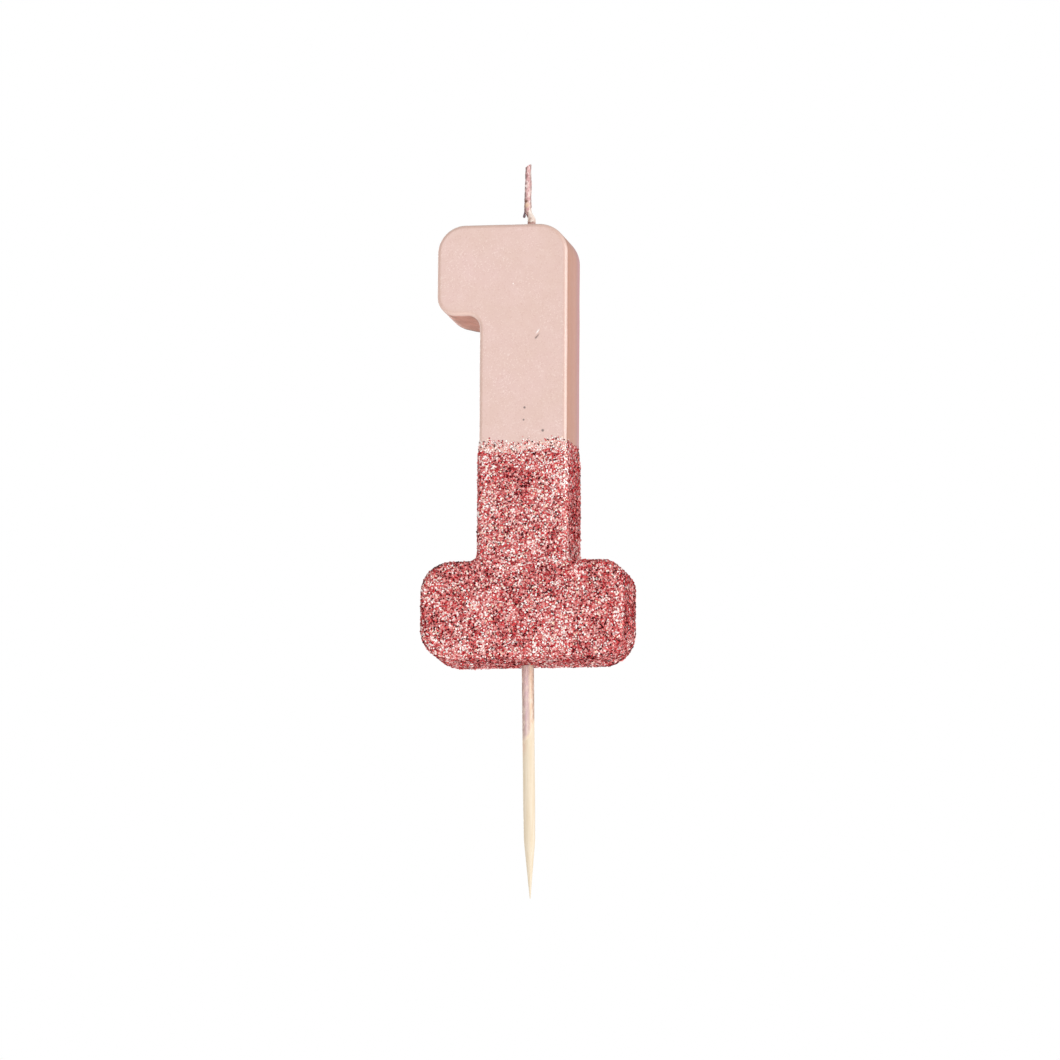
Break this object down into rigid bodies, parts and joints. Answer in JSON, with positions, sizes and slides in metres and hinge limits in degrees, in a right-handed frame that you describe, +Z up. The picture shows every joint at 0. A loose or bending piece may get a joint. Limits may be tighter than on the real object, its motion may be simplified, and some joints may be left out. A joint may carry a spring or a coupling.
{
  "type": "number birthday candle",
  "caption": "Numeral-one party candle: a rounded slab of lacquered wax with a glittered lower half and a short braided wick, carried on a pointed wooden pick that stands it on a cake.",
  "frame": {"origin": "on the pick's axis, in the plane of the candle's glittered underside, where the pick's shank comes out and the cake's surface would be", "axes": "+Z up along the pick towards the wick; the numeral faces -Y and reads left to right along +X; +Y is through its thickness"},
  "size_m": [0.0352, 0.0142, 0.1263],
  "materials": {
    "pick_wood": "bare turned birch",
    "pearl_lacquer": "satin pearl rose lacquer",
    "wax": "unpolished paraffin wax",
    "glue": "dried tinted craft glue",
    "glitter": "rose metallised film flakes",
    "wick_cotton": "waxed braided cotton"
  },
  "bodies": {
    "pick": {"wooden_pick": "pick_wood", "pick_lacquer": "pearl_lacquer"},
    "candle": {"wax_numeral": "wax", "lacquer_coat": "pearl_lacquer", "glue_film": "glue", "glitter_coat": "glitter", "buried_wick": "wick_cotton", "wick_collar": "pearl_lacquer"},
    "wick": {"exposed_wick": "wick_cotton", "wick_lacquer": "pearl_lacquer"}
  },
  "joints": [
    {"name": "candle_pull", "type": "slide", "parent": "pick", "child": "candle", "axis": [0, 0, 1], "range_m": [0, 0.0185]},
    {"name": "wick_bend", "type": "hinge", "parent": "candle", "child": "wick", "pos_m": [0.00028, 0, 0.0768], "axis": [0, 1, 0], "range_deg": [-40, 40]}
  ]
}
